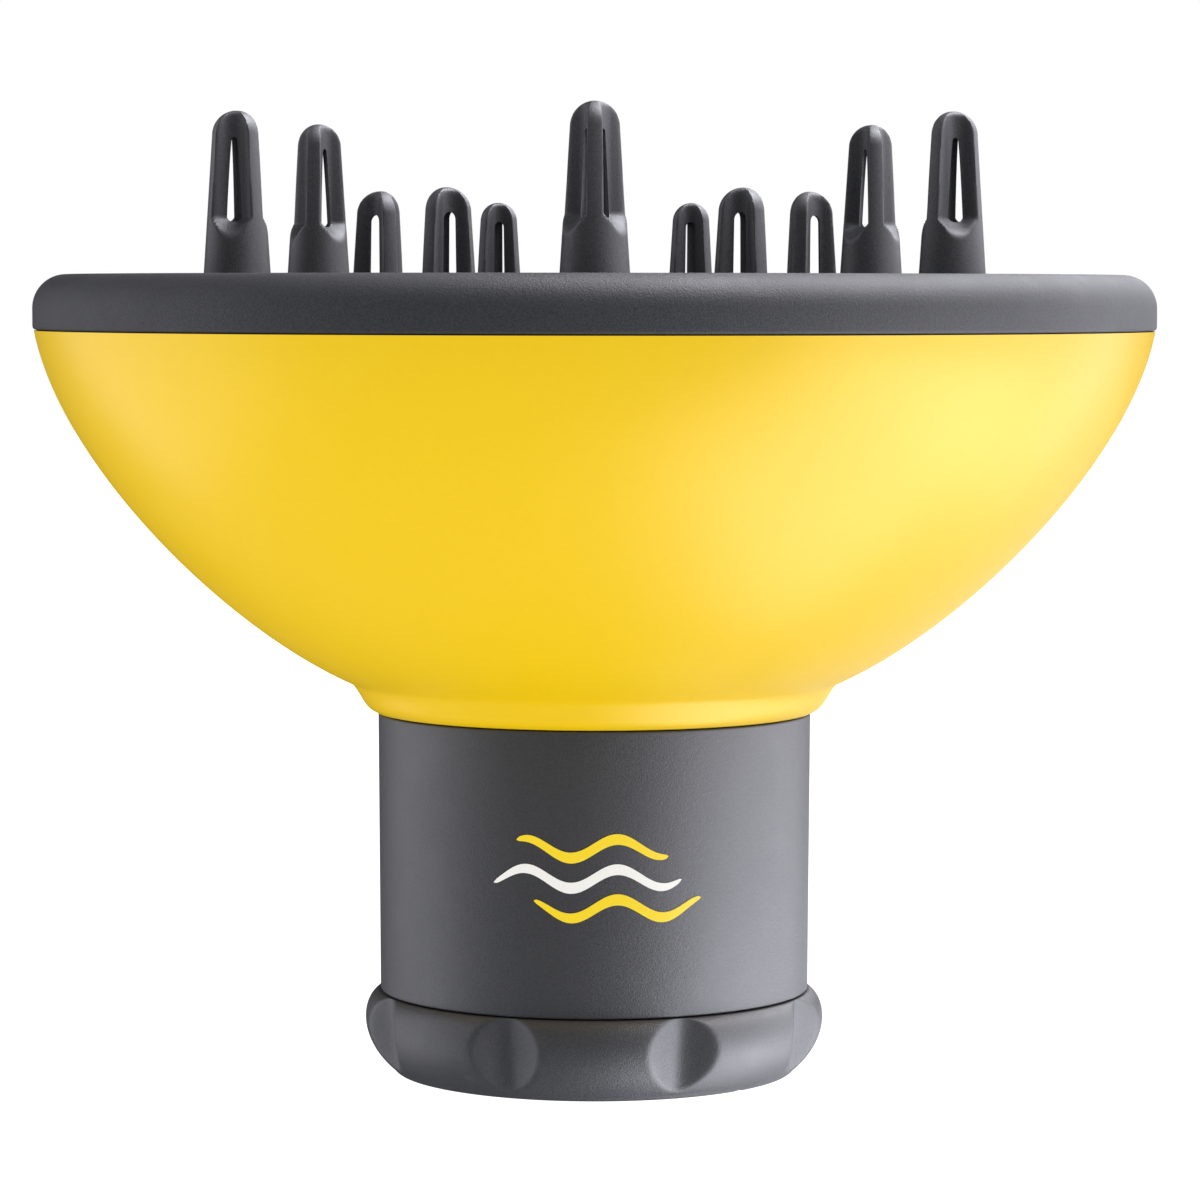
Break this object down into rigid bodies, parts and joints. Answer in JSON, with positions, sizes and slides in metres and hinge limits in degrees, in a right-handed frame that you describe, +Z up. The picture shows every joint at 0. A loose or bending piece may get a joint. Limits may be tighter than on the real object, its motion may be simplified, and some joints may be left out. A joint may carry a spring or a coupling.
{
  "type": "dryer diffuser",
  "caption": "Bowl diffuser for a hair dryer: domed bowl, perforated face with hollow slotted prongs, and a straight neck with a twist ring that closes jaws on the barrel.",
  "frame": {"origin": "centre of the lock ring's lower face, which the diffuser stands on", "axes": "+Z up along the axis of the neck and bowl, towards the prongs; -Y is the front"},
  "size_m": [0.1606, 0.1606, 0.1376],
  "materials": {
    "charcoal": "fine spark-eroded matte texture",
    "yellow": "satin",
    "steel": "bright zinc plated",
    "rubber": "matte moulded silicone",
    "nylon": "matte glass-filled nylon"
  },
  "bodies": {
    "root": {"face_grille": "charcoal", "bowl_shell": "yellow", "neck_sleeve": "charcoal", "air_baffle": "nylon", "pivot_pin_1": "steel", "pivot_pin_2": "steel", "pivot_pin_3": "steel", "pivot_pin_4": "steel", "pivot_pin_5": "steel", "pivot_pin_6": "steel", "baffle_screw_1": "steel", "baffle_screw_2": "steel", "baffle_screw_3": "steel", "neck_screw_1": "steel", "neck_screw_2": "steel", "neck_screw_3": "steel", "neck_screw_4": "steel"},
    "ring": {"lock_ring": "charcoal", "cam_plate": "steel", "cam_screw_1": "steel", "cam_screw_2": "steel", "cam_screw_3": "steel"},
    "jaw_1": {"jaw_1": "nylon", "jaw_pad_1": "rubber"},
    "jaw_2": {"jaw_2": "nylon", "jaw_pad_2": "rubber"},
    "jaw_3": {"jaw_3": "nylon", "jaw_pad_3": "rubber"},
    "jaw_4": {"jaw_4": "nylon", "jaw_pad_4": "rubber"},
    "jaw_5": {"jaw_5": "nylon", "jaw_pad_5": "rubber"},
    "jaw_6": {"jaw_6": "nylon", "jaw_pad_6": "rubber"}
  },
  "joints": [
    {"name": "ring_turn", "type": "hinge", "parent": "root", "child": "ring", "pos_m": [0, 0, 0.006], "axis": [0, 0, 1], "range_deg": [0, 30]},
    {"name": "jaw_1_swing", "type": "hinge", "parent": "root", "child": "jaw_1", "pos_m": [0.00453, -0.0257, 0.0075], "axis": [0, 0, 1], "range_deg": [0, 12]},
    {"name": "jaw_2_swing", "type": "hinge", "parent": "root", "child": "jaw_2", "pos_m": [0.02453, -0.00893, 0.0075], "axis": [0, 0, 1], "range_deg": [0, 12]},
    {"name": "jaw_3_swing", "type": "hinge", "parent": "root", "child": "jaw_3", "pos_m": [0.01999, 0.01678, 0.0075], "axis": [0, 0, 1], "range_deg": [0, 12]},
    {"name": "jaw_4_swing", "type": "hinge", "parent": "root", "child": "jaw_4", "pos_m": [-0.00453, 0.0257, 0.0075], "axis": [0, 0, 1], "range_deg": [0, 12]},
    {"name": "jaw_5_swing", "type": "hinge", "parent": "root", "child": "jaw_5", "pos_m": [-0.02453, 0.00893, 0.0075], "axis": [0, 0, 1], "range_deg": [0, 12]},
    {"name": "jaw_6_swing", "type": "hinge", "parent": "root", "child": "jaw_6", "pos_m": [-0.01999, -0.01678, 0.0075], "axis": [0, 0, 1], "range_deg": [0, 12]}
  ],
  "couplings": [
    {"joint": "jaw_1_swing", "follows": "ring_turn", "ratio": 0.4},
    {"joint": "jaw_2_swing", "follows": "ring_turn", "ratio": 0.4},
    {"joint": "jaw_3_swing", "follows": "ring_turn", "ratio": 0.4},
    {"joint": "jaw_4_swing", "follows": "ring_turn", "ratio": 0.4},
    {"joint": "jaw_5_swing", "follows": "ring_turn", "ratio": 0.4},
    {"joint": "jaw_6_swing", "follows": "ring_turn", "ratio": 0.4}
  ]
}
